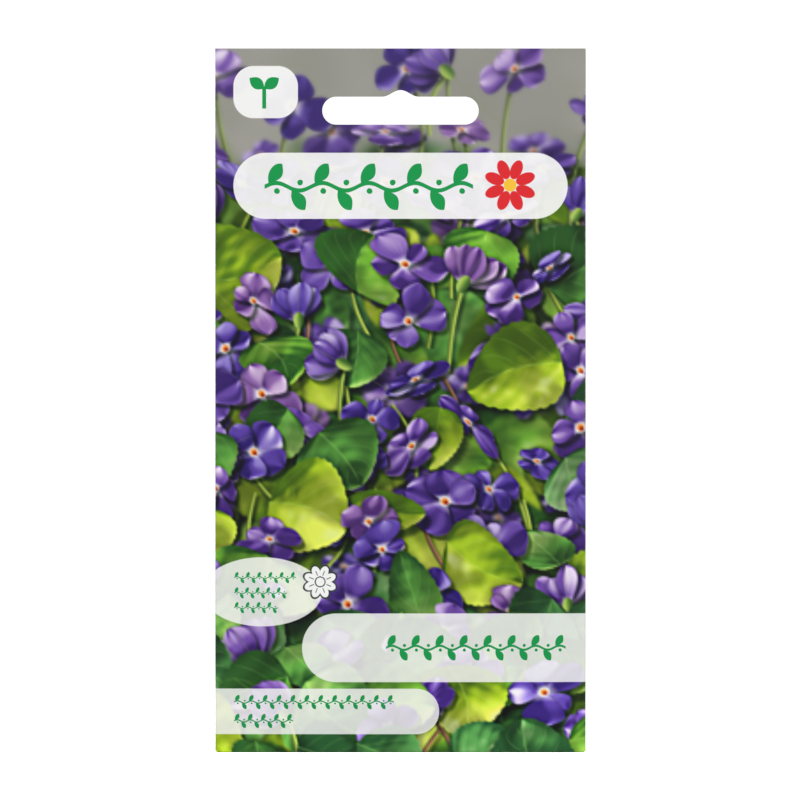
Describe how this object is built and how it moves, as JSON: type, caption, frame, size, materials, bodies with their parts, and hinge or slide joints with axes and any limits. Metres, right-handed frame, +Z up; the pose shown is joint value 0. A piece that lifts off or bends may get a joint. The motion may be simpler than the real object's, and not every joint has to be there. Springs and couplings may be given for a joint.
{
  "type": "seed packet",
  "caption": "Flat printed paper seed packet with a punched hang slot in its header, folded glued flaps and an inner sachet of seed.",
  "frame": {"origin": "middle of the hang slot's upper edge, at the top of its centre notch, in the plane where front and back sheet meet", "axes": "+Z up along the packet's length, +X across its width, the printed front faces -Y"},
  "size_m": [0.09, 0.0037, 0.171],
  "materials": {
    "printed_paper": "coated, satin, printed all over with flowers and leaves",
    "back_paper": "coated, satin, pale with plain printed panels",
    "sachet_paper": "uncoated, matt",
    "seed_coat": "smooth, slightly glossy"
  },
  "bodies": {
    "root": {"front_sheet": "printed_paper", "back_sheet": "back_paper", "sachet_front": "sachet_paper", "sachet_back": "sachet_paper", "seeds": "seed_coat"}
  },
  "joints": []
}
